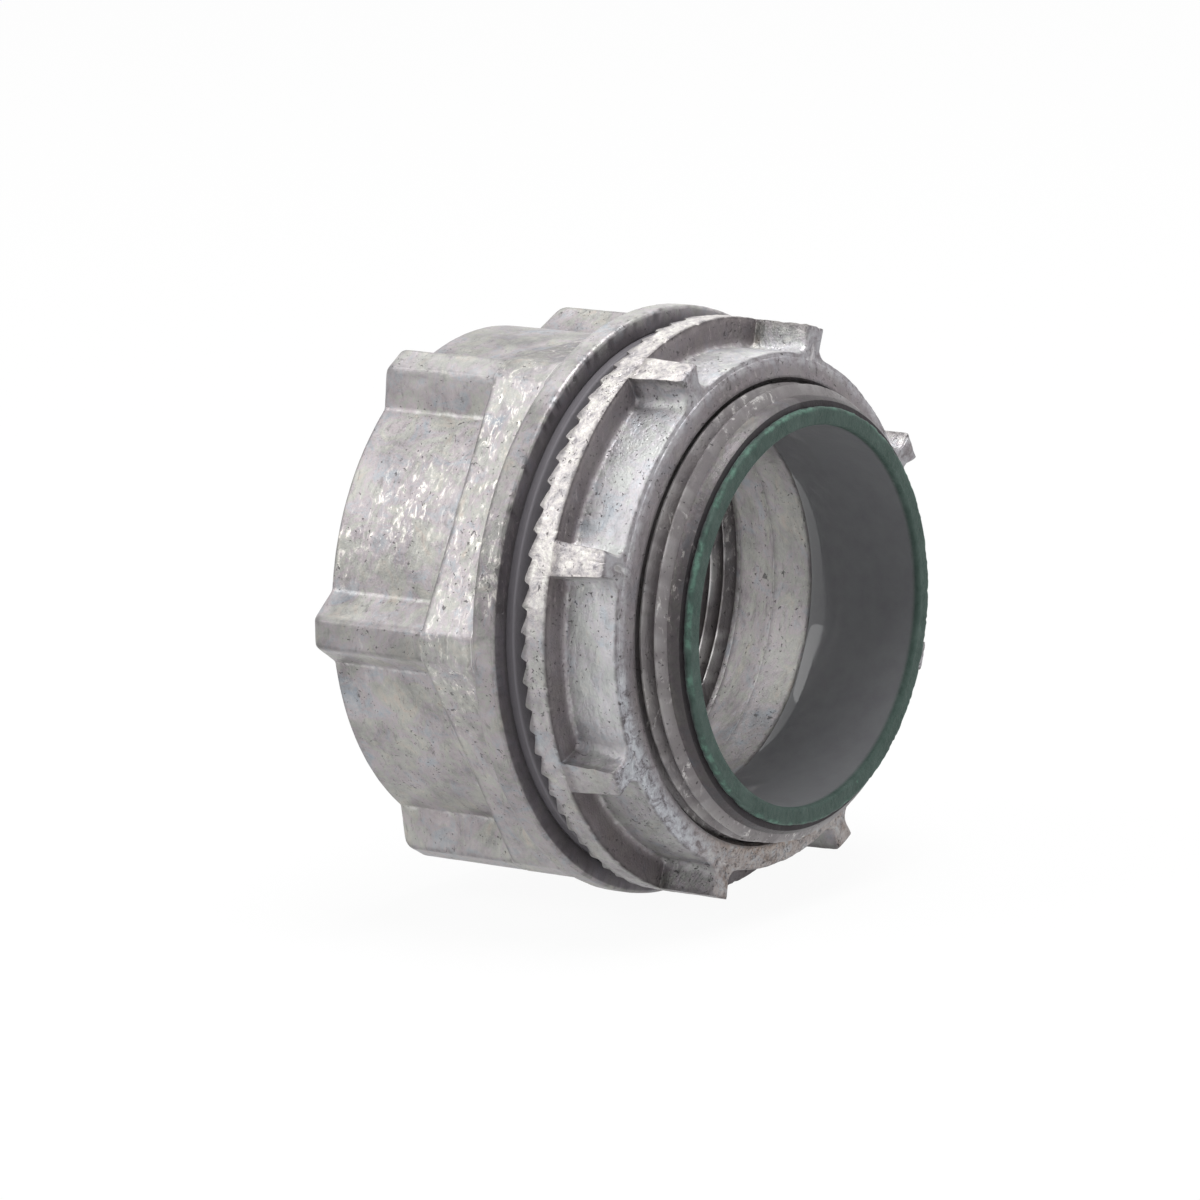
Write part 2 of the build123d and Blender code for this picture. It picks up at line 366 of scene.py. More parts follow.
def paintHub(obj, x, r, ang):
    # where the zinc is clean, where it is dark and where the flecks gather
    s = hub
    deg = np.degrees(ang) % 360
    onRim = (r > s["rimInner"]) * (x > s["flangeBack"] - 0.7)
    # the rim below its top: painted light comes off there and painted shade goes on
    dull = window(s["lowerRim"], deg)
    topFlat = ramp(*s["topFlat"][0], deg) + ramp(*s["topFlat"][1], deg)
    # painted light on one rib's tip, painted shade on the tip of the rib that faces sideways
    tips = (r > s["ribTip"] - 0.6) * (x < s["bandBack"] - 0.2)
    litRib, darkRib = (tips * (np.abs(deg - s[k]) < s["ribSpan"]) for k in ("litRib", "darkRib"))
    # painted light on the upper band, less on its top flats, and on the rim's top
    highBand = ramp(35.5, 37.5, r) * (x < s["flangeBack"] - 0.7)
    paintedLight = highBand * s["bandLit"] * (1 - topFlat) + onRim * (1.0 - 0.9 * dull)
    # painted light on the stop cone inside the hub
    cone = (r < s["pocket"] + 0.05) * between(s["stopEnd"] - 0.2, s["seat"] + 0.2, x) * s["coneLit"]
    paintPoints(obj, "paintedLight", np.maximum(paintedLight, litRib) + cone)

    # painted shade: the neck, darker towards its left, the socket thread, the rim below its top, the top
    # flats and one rib's tip
    least, more = s["neckDark"]
    neck = (x > s["neckFrom"]) * between(s["pocket"] + 0.35, s["neck"] + 0.2, r)
    neck = neck * (least + more * ramp(20, 70, deg))
    socket = (x < s["socketEnd"] + 0.1) * (r < s["socket"] + 0.15) * s["socketDark"]
    rim = onRim * (x < -0.3) * s["rimDark"] * dull * (1 - 0.35 * ramp(60, 85, deg))
    onFlats = (r > s["barrel"] + 0.5) * between(s["bandBack"] - 0.2, s["flangeBack"] - 0.2, x)
    flat = topFlat * onFlats * s["flatDark"]
    least, more = s["chipShade"]
    chips = ramp(0.0, 0.3, lumps(x, r, ang, s["chips"], 9)) * (least + more * ramp(85, 55, deg))
    chips = chips * ramp(-0.95, -0.35, x) * (r > s["rimInner"] - 0.1)
    paintPoints(obj, "shade", np.maximum(neck + socket + rim + flat + darkRib * s["ribDark"], chips))

    # the bright flecks gather where the light falls on the barrel and band: partly painted glints
    least, more, atBand = s["flecks"]
    middle = np.exp(-((deg - s["fleckAt"]) / s["fleckSpan"]) ** 2)
    onBand = ramp(-12.6, -11.8, x) * ramp(-3.0, -4.2, x) * ramp(120, 92, deg)
    paintPoints(obj, "busy", least + more * middle + atBand * onBand * (1 - 0.5 * middle))


def makeCasting():
    ang = hubColumns()
    barrel, band = rounded(ribSection, ang, hub["easeRibs"]), rounded(bandSection, ang, hub["easeBand"])
    x, r = gridOf([*hubOutside(barrel, band), *hubInside()], ang)
    shift = sum(lumps(x, r, ang, hub[k][0], seed) * hub[k][1] for k, seed in (("lumps", 1), ("grit", 2)))
    outside = (r > 33.0) & (x < 0.1)
    r = r - np.where(outside, np.abs(shift), 0)
    obj = loftMesh("hubCasting", x, r, ang, "hub")
    paintHub(obj, x, r, ang)
    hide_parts("hub_body")
    return obj


casting = makeCasting()
neckRidge = {"x": 1.3, "turns": 8.7, "steps": 300, "start": 78, "fade": (0.3, 0.3), "root": 28.65,
             "crest": 30.1, "foot": 1.03, "top": 0.22, "bury": 0.12, "seed": 3.1, "rough": 0.10, "worn": 0.12,
             "wornTurns": 1.5, "crestLight": 0.3}
socketRidge = {"x": -28.9, "turns": 8.4, "steps": 150, "start": 0, "fade": (0.4, 0.3), "root": 30.2,
               "crest": 28.75, "foot": 1.03, "top": 0.2, "bury": 0.1, "seed": 8.4, "rough": 0.05, "worn": 0.0,
               "wornTurns": 1, "crestLight": 1.0}
neckThread = helixRidge("neckThread", "hub", neckRidge)
socketThread = helixRidge("socketThread", "hub", socketRidge)
print("hub casting made")

# the locknut: toothed rim, pockets between eight lugs, threaded bore; then its lumps and paints
nut = {"gap": 3.5, "front": 16.0, "rise": 0.45, "bore": 30.35, "collar": 33.2, "ring": 34.0, "rim": 38.0,
       "rimFront": 7.6, "rootRound": 0.6, "edge": 0.35, "teeth": 72, "toothHigh": 1.2, "toothIn": 35.4,
       "toothEase": 0.3, "toothTall": (0.74, 1.0), "toothSlip": 0.08, "toothRise": 0.12, "toothFall": 0.78,
       "lugs": 8, "lug0": 25, "lugMid": 36.5, "lugHalf": 2.32, "lugHalfFront": 1.6, "lugTop": 37.98,
       "lugFront": 15.8, "lugRoot": 1.2, "flare": (0.35, 0.1, 0.15, 0.2, 0.2, 0.3, 0.4, 0.1),
       "dimple": (0.08, 0.32, 0.05, 0.1, 0.12, 0.2, 0.1, 0.38), "lumps": (5.0, 0.10), "grit": (1.3, 0.06),
       "chips": (0.9, 0.35), "lowerRim": ((73, 90), (300, 270)), "lowerFloor": ((100, 122), (300, 270)),
       "lowerFace": ((90, 125), (300, 270)), "darkFoot": ((108, 126), (300, 270)),
       "stained": ((130, 170), (240, 205)), "chalky": ((84, 100), (158, 138)),
       "boreDark": 0.7, "innerDark": 0.4, "wallDark": 0.6, "footDark": 0.3}


def nutColumns():
    # close together at each tooth's tip and at the lugs' sides
    base = []
    for k in range(nut["teeth"]):
        base += [360 / nut["teeth"] * (k + f) for f in (0, 0.06, 0.12, 0.3, 0.48, 0.66, 0.84, 0.94)]
    beside = (0.35, 0.7, 1.05, 1.4, 1.75, 2.0, 2.15, 2.24, 2.3,
              2.36, 2.44, 2.56, 2.72, 2.95, 3.25, 3.6, 4.0, 4.5)
    for k in range(nut["lugs"]):
        middle = nut["lug0"] + 360 / nut["lugs"] * k
        for v in beside:
            step = math.degrees(v / nut["lugMid"])
            base += [middle - step, middle + step]
    base = np.unique(np.round(np.array(base) % 360, 3))
    keep = [base[0]]
    for b in base[1:]:
        if b - keep[-1] > 0.05:
            keep.append(b)
    return np.radians(np.array(keep))


def toothDrop(ang):
    # how far each point of the toothed edge lies ahead of the tips
    rng = np.random.default_rng(11)
    tall = rng.uniform(*nut["toothTall"], nut["teeth"])
    slip = rng.uniform(-nut["toothSlip"], nut["toothSlip"], nut["teeth"])
    f = np.degrees(ang) / (360 / nut["teeth"])
    k = np.floor(f).astype(int) % nut["teeth"]
    f = f % 1 + slip[k] * np.sin(np.pi * (f % 1))
    rise = nut["toothRise"]
    drop = np.where(f < rise, f / rise, np.clip(1 - (f - rise) / nut["toothFall"], 0, 1))
    return nut["toothHigh"] * drop * tall[k]


def nutProfile(drop, across):
    # rows from the bore's back edge over teeth, rim and lugs to the front and back through the bore
    s = nut
    full = s["lugTop"] - s["ring"]

    def baseAt(x):
        # the pocket's floor, the fillet beside a lug, or the lug's top
        beside = across - s["lugHalf"]
        fillet = cornerFall(beside, s["lugRoot"] + 0.7 * float(ramp(12, 15.8, x)))
        return s["ring"] + fillet + ramp(0.08, -0.08, beside) * (full - fillet)

    yield s["gap"] + 0.35, s["bore"]
    yield s["gap"], s["bore"] + 0.35
    for r in (32.0, 33.8, s["toothIn"] - 0.3, s["toothIn"] - 0.05):
        yield s["gap"], r
    yield s["gap"] + drop * 0.9, s["toothIn"] + 0.05
    for r in (36.2, 37.1, s["rim"] - 0.25):
        yield s["gap"] + drop, r
    yield s["gap"] + drop * 0.85 + 0.22, s["rim"]
    for x in (4.9, 5.4, 5.9, 6.4, 6.9):
        yield x, s["rim"]
    f, top, base = s["rimFront"], s["rim"] - 0.4, baseAt(8)
    root = np.clip(top - base, 0, s["rootRound"])
    for x, r in ((f - 0.3, s["rim"]), (f - 0.1, s["rim"] - 0.08), (f, top)):
        yield x, np.maximum(r, base)
    for t in (0.2, 0.5, 0.8):
        yield f + 0.1 * t, np.maximum(top + t * (base + root - top), base)
    for q in np.radians(np.linspace(0, 90, 7)):
        yield f + 0.1 + s["rootRound"] * (1 - math.cos(q)), base + root * (1 - math.sin(q))
    for x in (9.2, 10, 10.8, 11.7, 12.6, 13.5, 14.3, 14.9, 15.2):
        yield x, baseAt(x)
    end, base = s["lugFront"] - s["edge"], baseAt(s["lugFront"])
    for q in np.radians((15, 35, 60, 90)):
        yield end + s["edge"] * math.sin(q), base - s["edge"] * (1 - math.cos(q))
    for t in np.linspace(0.06, 1, 12):
        yield s["lugFront"] + 0.04 * t, base - s["edge"] + t * (s["collar"] + 0.2 - base + s["edge"])
    yield s["front"] - 0.03, s["collar"] + 0.1
    for t in (0.02, 0.15, 0.35, 0.5, 0.65, 0.85):
        yield s["front"] + s["rise"] * t, s["collar"] + t * (s["bore"] + s["rise"] - s["collar"])
    yield s["front"] + s["rise"], s["bore"] + s["rise"] - 0.05
    yield s["front"], s["bore"]
    for x in (15, 13, 11, 9, 7, 5):
        yield x, s["bore"]


def leanLugs(x, r, off, across, lug):
    # angle by which the lugs' sides lean out at their horned corners and draw in towards the front
    s = nut
    high = (r - s["ring"]) / (s["lugTop"] - s["ring"])
    near = np.exp(-((across - s["lugHalf"]) / 0.55) ** 2) * (x > 8.2)
    flare = np.array(s["flare"])[lug] * (0.35 + 0.65 * ramp(11, 15.5, x))
    waist = 0.45 * ramp(0.02, 0.35, high) * (1 - ramp(0.5, 0.9, high))
    half = s["lugHalf"] + (s["lugHalfFront"] - s["lugHalf"]) * np.clip((x - 7.6) / 8.2, 0, 1)
    half = half - 0.3 * ramp(15.45, 15.8, x)
    fade = ramp(s["lugHalf"] + 4.0, s["lugHalf"], across)
    inward = np.where(across < s["lugHalf"], across / s["lugHalf"], fade)
    lean = flare * (ramp(0.5, 1.0, high) - waist) * near
    lean = lean + (half - s["lugHalf"]) * inward * ramp(32.8, 34.0, r)
    return np.sign(off) * lean / s["lugMid"]


def paintNut(obj, x, r, ang):
    # where the zinc is rubbed, stained brown or chalky; painted light on the pocket floors; painted shade in
    # the bore, round the collar, on the pocket walls and the lower rim
    s = nut
    deg = np.degrees(ang) % 360
    front = ramp(15.4, 15.75, x)
    floor = ramp(8.0, 8.7, x) * ramp(33.3, 33.6, r) * (1 - ramp(34.9, 36.2, r))
    lowerRim, lowerFace = window(s["lowerRim"], deg), window(s["lowerFace"], deg)
    paintPoints(obj, "rubbed", ramp(36.9, 37.7, r) * ramp(3.2, 3.6, x) * (1 - front) * (1 - 0.8 * lowerRim))
    # painted light on the pocket floors, less on the lower ones
    paintPoints(obj, "paintedLight", floor * (1 - front) * (1 - 0.65 * window(s["lowerFloor"], deg)))
    # painted shade in the bore thread, round the collar, on the pocket walls and at the foot of the lower rim
    bore = (r < 30.7) * s["boreDark"]
    inner = between(30.7, 32.4, r) * s["innerDark"] * front * (1 - 0.9 * lowerFace)
    wall = window(((7.2, 7.5), (9.0, 8.4)), x) * ramp(34.4, 35.0, r) * s["wallDark"]
    foot = window(s["darkFoot"], deg) * (x < 15.4) * (r > 33.5) * s["footDark"]
    paintPoints(obj, "shade", bore + inner + wall + foot)
    paintPoints(obj, "rust", window(s["stained"], deg) * front)
    paintPoints(obj, "busy", (1 - 0.6 * lowerRim) * np.ones_like(r))
    outer = 0.45 + 0.55 * window(s["chalky"], deg)
    paintPoints(obj, "bevel", front * outer * ramp(31.4 - 0.8 * lowerFace, 33.4 - lowerFace, r))


def makeNut():
    ang = nutColumns()
    gap = 360 / nut["lugs"]
    turns = (np.degrees(ang) - nut["lug0"] + gap / 2) / gap
    off = turns % 1 * gap - gap / 2
    lug = np.floor(turns).astype(int) % nut["lugs"]
    across = np.abs(np.radians(off)) * nut["lugMid"]
    drop = rounded(toothDrop, ang, nut["toothEase"])
    x, r = gridOf(list(nutProfile(drop, across)), ang)
    turned = ang + leanLugs(x, r, off, across, lug)
    hollow = 1 - ramp(0.5, 1.0, np.hypot((r - 34.6) / 1.6, across / 1.25))
    x = x - np.array(nut["dimple"])[lug] * hollow * (x > 15.6)
    shift = sum(lumps(x, r, ang, nut[k][0], seed) * nut[k][1] for k, seed in (("lumps", 5), ("grit", 6)))
    size, deep = nut["chips"]
    chips = np.clip(lumps(x, r, ang, size, 7) - 0.25, 0, 1) * deep * ramp(37.2, 37.8, r)
    outside = r > nut["bore"] + 0.6
    r = r - np.where(outside, np.abs(shift) + chips, 0)
    x = x - np.where((x > 15.4) & outside, np.abs(shift) * 0.8, 0)
    obj = loftMesh("locknutCasting", x, r, turned, "nut")
    paintNut(obj, x, r, ang)
    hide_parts("locknut")
    return obj


nutCasting = makeNut()
nutRidge = {"x": 4.7, "turns": 4.9, "steps": 150, "start": 180, "fade": (0.3, 0.3), "root": 30.3,
            "crest": 28.85, "foot": 1.0, "top": 0.2, "bury": 0.1, "seed": 5.7, "rough": 0.05, "worn": 0,
            "wornTurns": 1, "crestLight": 0.5}
nutThread = helixRidge("locknutThread", "nut", nutRidge)
print("locknut made")

# the throat's liner with its flashed lip
liner = {"bore": 25.0, "tube": 26.55, "lip": 27.4, "seat": 5.15, "neckEnd": 21.5, "front": 22.6, "round": 0.5,
         "columns": 400, "lumpSize": 3.5, "gritSize": 1.1, "edgeRough": (0.16, 0.12), "faceRough": 0.10}


def makeLiner():
    s = liner
    ang = evenColumns(s["columns"])
    back, front, lip, bore, turn = s["neckEnd"] + 0.05, s["front"], s["lip"], s["bore"], s["round"]
    pts = [(s["seat"], bore + 0.1), (s["seat"], s["tube"] - 0.1)]
    pts += [(x, s["tube"]) for x in (6, 10, 14, 18, 21, s["neckEnd"] - 0.05)]
    pts += [(back, 26.7)] + arc(back, lip - 0.2, back + 0.25, lip, (back, lip), 3)
    pts += arc(front - turn, lip, front, lip - turn, (front, lip), 5)
    pts += [(front, r) for r in (26.5, 26.0, 25.6)]
    pts += arc(front, bore + turn, front - turn, bore, (front, bore), 5)
    pts += [(x, bore) for x in (21, 19, 16, 13, 10, 7, 5.6)]
    x, r = gridOf(pts, ang)
    n1 = lumps(x, r, ang, s["lumpSize"], 21)
    n2 = lumps(x, r, ang, s["gritSize"], 22)
    atLip = (r > lip - 0.6) & (x > s["neckEnd"])
    # the ragged flash at the lip's outer edge, painted brighter as a painted highlight
    flashGlint = ramp(26.8, 27.25, r) * atLip * ramp(-0.25, 0.2, n1 + 0.5 * n2)
    r = r - np.where(atLip, np.abs(n1 * s["edgeRough"][0] + n2 * s["edgeRough"][1]), 0)
    x = x - np.where((x > front - 0.3) & (r > bore + 0.4), np.abs(n1 + n2) * s["faceRough"], 0)
    obj = loftMesh("throatLiner", x, r, ang, "hub")
    paintPoints(obj, "flashGlint", flashGlint)
    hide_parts("throat_liner")
    return obj


linerTube = makeLiner()

# the rubber ring in the flange's recess
seal = {"inner": 30.45, "outer": 36.05, "floor": -1.58, "front": 1.0, "round": 0.6, "columns": 240,
        "lumpSize": 4, "lumpHigh": 0.08}


def makeSeal():
    ang = evenColumns(seal["columns"])
    inner, outer, floor, front, turn = (seal[k] for k in ("inner", "outer", "floor", "front", "round"))
    pts = [(floor, inner), (floor, 33), (floor, outer), (-0.6, outer)]
    pts += arc(front - turn, outer, front, outer - turn, (front, outer), 5)
    pts += [(front, 34), (front, 32)]
    pts += arc(front, inner + turn, front - turn, inner, (front, inner), 5)
    x, r = gridOf(pts, ang)
    x = x - np.where(x > 0.5, np.abs(lumps(x, r, ang, seal["lumpSize"], 31)) * seal["lumpHigh"], 0)
    obj = loftMesh("sealRing", x, r, ang, "hub")
    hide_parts("sealing_ring")
    return obj


sealRing = makeSeal()
print("liner and ring made")


# short ways to place nodes and join them
def newGroup(name, inputs, outputs):
    # inputs with their values, None for a vector, and outputs with their kinds
    g = bpy.data.node_groups.new(name, "ShaderNodeTree")
    for label, value in inputs.items():
        kind = "NodeSocketVector" if value is None else "NodeSocketFloat"
        sock = g.interface.new_socket(label, in_out="INPUT", socket_type=kind)
        if value is not None:
            sock.default_value = value
    for label, kind in outputs.items():
        g.interface.new_socket(label, in_out="OUTPUT", socket_type="NodeSocket" + kind)
    return g, g.nodes.new("NodeGroupInput"), g.nodes.new("NodeGroupOutput")


def add(tree, kind, **settings):
    node = tree.nodes.new(kind)
    for key, value in settings.items():
        setattr(node, key, value)
    return node


def noiseOf(tree, coord, scale, detail, rough, warp=0.0):
    node = add(tree, "ShaderNodeTexNoise")
    tree.links.new(coord, node.inputs["Vector"])
    for key, value in (("Scale", scale), ("Detail", detail), ("Roughness", rough), ("Distortion", warp)):
        node.inputs[key].default_value = value
    return node.outputs["Fac"]


def calc(tree, what, a, b=None, clamp=False):
    node = add(tree, "ShaderNodeMath", operation=what, use_clamp=clamp)
    for sock, value in zip(node.inputs, (a, b)):
        if value is None:
            continue
        if isinstance(value, (int, float)):
            sock.default_value = value
        else:
            tree.links.new(value, sock)
    return node.outputs[0]


def spread(tree, value, lo, hi, outLo=0.0, outHi=1.0):
    node = add(tree, "ShaderNodeMapRange", interpolation_type="SMOOTHSTEP")
    tree.links.new(value, node.inputs["Value"])
    for key, v in (("From Min", lo), ("From Max", hi), ("To Min", outLo), ("To Max", outHi)):
        node.inputs[key].default_value = v
    return node.outputs["Result"]


def blend(tree, fac, a, b, mode="MIX"):
    node = add(tree, "ShaderNodeMix", data_type="RGBA", blend_type=mode)
    socks = [s for s in node.inputs if s.enabled]
    for sock, value in zip(socks, (fac, a, b)):
        if isinstance(value, (int, float)):
            sock.default_value = value
        elif isinstance(value, tuple):
            sock.default_value = (*value, 1)
        else:
            tree.links.new(value, sock)
    return [s for s in node.outputs if s.enabled][0]


def times(tree, col, tint):
    return blend(tree, 1.0, col, tint, "MULTIPLY")


def colours(tree, value, stops):
    node = add(tree, "ShaderNodeValToRGB")
    band = node.color_ramp.elements
    band.remove(band[1])
    band[0].position = stops[0][0]
    band[0].color = (*stops[0][1], 1)
    for pos, col in stops[1:]:
        band.new(pos).color = (*col, 1)
    tree.links.new(value, node.inputs["Fac"])
    return node.outputs["Color"]


def shifted(tree, vector, offset):
    node = add(tree, "ShaderNodeMapping")
    tree.links.new(vector, node.inputs["Vector"])
    node.inputs["Location"].default_value = offset
    return node.outputs["Vector"]


def drawnOut(tree, vector):
    # the metal's flow: flecks and ripples are drawn out along one slant
    flow = shifted(tree, vector, (0.1, 0.5, 0.2))
    flow.node.inputs["Scale"].default_value = (1.0, 0.8, 0.42)
    flow.node.inputs["Rotation"].default_value = (0.45, 0.0, 0.0)
    return flow


def bump(tree, height, distance, under=None):
    node = add(tree, "ShaderNodeBump")
    node.inputs["Strength"].default_value = 1.0
    node.inputs["Distance"].default_value = distance
    tree.links.new(height, node.inputs["Height"])
    if under is not None:
        tree.links.new(under, node.inputs["Normal"])
    return node.outputs["Normal"]


# mottled oxide film: noise as scale, detail, roughness and warp, then the colours along each ramp
filmSet = {
    "hue": (260, 7, 0.72, 0.8), "tone": (150, 9, 0.74, 0.3), "fleck": (1150, 6, 0.72, 0.6),
    "cloud": (75, 3, 0.5), "fine": (640, 8, 0.80, 0.4),
    "hues": [(0.30, (0.31, 0.35, 0.40)), (0.41, (0.37, 0.38, 0.40)), (0.48, (0.41, 0.37, 0.39)),
             (0.55, (0.375, 0.388, 0.365)), (0.62, (0.425, 0.415, 0.385)), (0.70, (0.45, 0.40, 0.36))],
    "tones": [(0.35, (0.53, 0.53, 0.54)), (0.5, (0.81, 0.81, 0.81)), (0.64, (1.0, 1.0, 1.0))],
    "speckles": [(0.36, (0.20, 0.18, 0.19)), (0.43, (0.44, 0.42, 0.43)), (0.50, (0.62, 0.58, 0.57)),
                 (0.58, (0.77, 0.75, 0.70)), (0.68, (0.92, 0.92, 0.89))],
    "lightFleck": (0.78, 0.76, 0.71), "darkFleck": (0.17, 0.165, 0.165)}


def makeFilm(s):
    # soft pink, green and blue patches, drawn-out flecks, lighter and darker clouds
    outputs = {"Color": "Color", "Speckle": "Color", "Cloud": "Float", "Dull": "Float", "Fleck": "Float"}
    g, gin, gout = newGroup("oxideFilm", {"Vector": None, "Flecks": 1.0}, outputs)
    v, amount = gin.outputs["Vector"], gin.outputs["Flecks"]
    tone = noiseOf(g, v, *s["tone"])
    fleck = noiseOf(g, drawnOut(g, v), *s["fleck"])
    cloud = noiseOf(g, shifted(g, v, (0.9, 0.2, 0.4)), *s["cloud"])
    hue = colours(g, noiseOf(g, shifted(g, v, (0.3, 0.1, 0.7)), *s["hue"]), s["hues"])
    col = times(g, hue, colours(g, tone, s["tones"]))
    gate = calc(g, "ADD", spread(g, cloud, 0.42, 0.60), calc(g, "SUBTRACT", amount, 0.9), True)
    light = calc(g, "MULTIPLY", spread(g, fleck, 0.51, 0.70), gate)
    light = calc(g, "MULTIPLY", light, calc(g, "MINIMUM", amount, 1.0))
    col = blend(g, light, col, s["lightFleck"])
    col = blend(g, calc(g, "MULTIPLY", spread(g, fleck, 0.46, 0.33), 0.6), col, s["darkFleck"])
    fine = noiseOf(g, shifted(g, v, (0.6, 0.3, 0.8)), *s["fine"])
    g.links.new(col, gout.inputs["Color"])
    g.links.new(colours(g, fine, s["speckles"]), gout.inputs["Speckle"])
    g.links.new(cloud, gout.inputs["Cloud"])
    g.links.new(spread(g, tone, 0.3, 0.7), gout.inputs["Dull"])
    g.links.new(light, gout.inputs["Fleck"])
    return g


# die-cast skin: each layer's noise, and how high the fine and the drawn-out ones stand
grainSet = {"fine": (3400, 3, 0.6), "ripples": (950, 5, 0.68, 0.4), "flow": (300, 3, 0.5),
            "fineHigh": 0.22, "rippleHigh": 0.6}


def makeGrain(s):
    g, gin, gout = newGroup("castGrain", {"Vector": None, "Coarse": 0.5}, {"Height": "Float"})
    v = gin.outputs["Vector"]
    fine = calc(g, "MULTIPLY", noiseOf(g, v, *s["fine"]), s["fineHigh"])
    ripples = calc(g, "MULTIPLY", noiseOf(g, drawnOut(g, v), *s["ripples"]), s["rippleHigh"])
    flow = calc(g, "MULTIPLY", noiseOf(g, v, *s["flow"]), gin.outputs["Coarse"])
    g.links.new(calc(g, "ADD", calc(g, "ADD", fine, ripples), flow), gout.inputs["Height"])
    return g


# scattered pits and nicks, gathered in patches: scale, level and place of the small and the large ones
pitSet = {"patch": (190, 3, 0.5), "dots": ((2300, 0.70, (0.2, 0.6, 0.3)), (1050, 0.715, (0.7, 0.1, 0.5))),
          "share": 0.12}


def makePits(s):
    g, gin, gout = newGroup("castPits", {"Vector": None, "Amount": 0.5}, {"Mask": "Float", "Height": "Float"})
    v = gin.outputs["Vector"]
    patch = spread(g, noiseOf(g, shifted(g, v, (0.4, 0.8, 0.1)), *s["patch"]), 0.35, 0.62, 0.0, 0.06)
    more = calc(g, "MULTIPLY", gin.outputs["Amount"], s["share"])
    found = []
    for scale, level, place in s["dots"]:
        dots = noiseOf(g, shifted(g, v, place), scale, 2, 0.55, 0.5)
        dots = calc(g, "ADD", calc(g, "ADD", dots, patch), more)
        found.append(spread(g, dots, level + 0.02, level + 0.07))
    mask = calc(g, "MAXIMUM", *found)
    g.links.new(mask, gout.inputs["Mask"])
    g.links.new(calc(g, "MULTIPLY", mask, -1.0), gout.inputs["Height"])
    return g


def makeWearGlint():
    # rubbed edges with a painted highlight along them, and darker concave corners, from the edge attribute
    g, gin, gout = newGroup("edgeWearGlint", {"Vector": None}, {"WornGlint": "Float", "Corner": "Float"})
    edge = add(g, "ShaderNodeAttribute", attribute_name="edge", attribute_type="GEOMETRY").outputs["Fac"]
    rub = calc(g, "SUBTRACT", noiseOf(g, gin.outputs["Vector"], 700, 5, 0.65), 0.5)
    worn = calc(g, "ADD", edge, calc(g, "MULTIPLY", rub, 0.9))
    g.links.new(spread(g, worn, 0.12, 0.45), gout.inputs["WornGlint"])
    low = calc(g, "ADD", edge, calc(g, "MULTIPLY", rub, 0.4))
    g.links.new(spread(g, low, -0.45, -0.08, 1.0, 0.0), gout.inputs["Corner"])
    return g


filmGroup, grainGroup = makeFilm(filmSet), makeGrain(grainSet)
pitGroup, wearGlintGroup = makePits(pitSet), makeWearGlint()


def useGroup(tree, group, coord, **values):
    node = add(tree, "ShaderNodeGroup")
    node.node_tree = group
    tree.links.new(coord, node.inputs["Vector"])
    for key, value in values.items():
        node.inputs[key].default_value = value
    return node


def newMaterial(name):
    mat = bpy.data.materials.new(name)
    mat.use_nodes = True
    tree = mat.node_tree
    coord = add(tree, "ShaderNodeTexCoord").outputs["Object"]
    return mat, tree, tree.nodes["Principled BSDF"], coord


def painted(tree, name, amount=1.0):
    # what was painted on the mesh, times an amount
    node = add(tree, "ShaderNodeAttribute", attribute_name=name, attribute_type="GEOMETRY")
    return calc(tree, "MULTIPLY", node.outputs["Fac"], amount)


def facingFront(tree, lo, hi):
    # the faces that look out along the neck
    face = add(tree, "ShaderNodeSeparateXYZ")
    tree.links.new(add(tree, "ShaderNodeTexCoord").outputs["Normal"], face.inputs[0])
    return spread(tree, face.outputs["X"], lo, hi)


def stained(tree, coord, col, s):
    # brown stain with fine cracks at the nut's foot, chalky bevel round its collar
    grit = noiseOf(tree, shifted(tree, coord, (0.2, 0.9, 0.5)), 800, 5, 0.68, 0.9)
    crack = noiseOf(tree, shifted(tree, coord, (0.5, 0.3, 0.1)), 420, 6, 0.6, 1.2)
    crack = calc(tree, "ABSOLUTE", calc(tree, "SUBTRACT", crack, 0.5))
    crack = calc(tree, "MULTIPLY", spread(tree, crack, 0.006, 0.022, 1.0, 0.0), 0.85)
    stain = blend(tree, crack, colours(tree, grit, s["stains"]), s["crack"])
    col = blend(tree, painted(tree, "rust", s["rust"]), col, stain)
    patch = noiseOf(tree, shifted(tree, coord, (0.1, 0.6, 0.9)), 620, 6, 0.7, 0.6)
    return blend(tree, painted(tree, "bevel", 0.8), col, colours(tree, patch, s["chalks"]))


